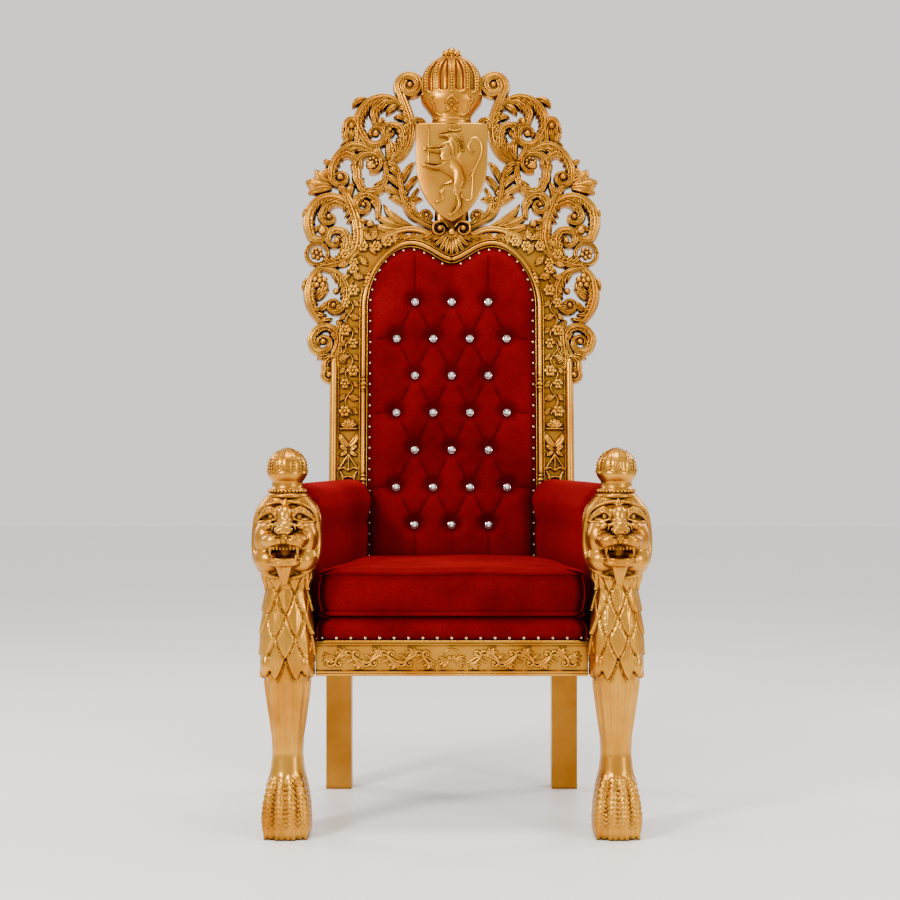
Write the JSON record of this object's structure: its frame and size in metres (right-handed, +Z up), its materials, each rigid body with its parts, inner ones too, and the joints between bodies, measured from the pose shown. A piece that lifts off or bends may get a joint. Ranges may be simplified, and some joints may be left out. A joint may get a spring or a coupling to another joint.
{
  "type": "throne",
  "caption": "High-backed carved throne with lion posts, openwork crest, crowned shield, tufted velvet back, rolled arms and box cushion.",
  "frame": {"origin": "middle of the footprint's box, on the floor", "axes": "+Z up, the front of the throne faces -Y, +X to its right as seen from the front"},
  "size_m": [0.8624, 0.85, 1.8542],
  "materials": {
    "gilding": "carved wood under satin gold leaf",
    "velvet": "short-pile velvet",
    "back_lining": "plain velvet lining",
    "crystal": "faceted and silver-backed"
  },
  "bodies": {
    "root": {"carved_back": "gilding", "shield": "gilding", "front_rail": "gilding", "side_rail_left": "gilding", "side_rail_right": "gilding", "rear_rail": "gilding", "back_leg_left": "gilding", "back_leg_right": "gilding", "lion_post_left": "gilding", "lion_post_right": "gilding", "back_pad": "velvet", "seat_deck": "velvet", "seat_cushion": "velvet", "arm_left": "velvet", "arm_right": "velvet", "rear_panel": "back_lining", "back_button_r1_1": "crystal", "back_button_r1_2": "crystal", "back_button_r1_3": "crystal", "back_button_r2_1": "crystal", "back_button_r2_2": "crystal", "back_button_r2_3": "crystal", "back_button_r2_4": "crystal", "back_button_r3_1": "crystal", "back_button_r3_2": "crystal", "back_button_r3_3": "crystal", "back_button_r4_1": "crystal", "back_button_r4_2": "crystal", "back_button_r4_3": "crystal", "back_button_r4_4": "crystal", "back_button_r5_1": "crystal", "back_button_r5_2": "crystal", "back_button_r5_3": "crystal", "back_button_r6_1": "crystal", "back_button_r6_2": "crystal", "back_button_r6_3": "crystal", "back_button_r6_4": "crystal", "back_button_r7_1": "crystal", "back_button_r7_2": "crystal", "back_button_r7_3": "crystal"}
  },
  "joints": []
}
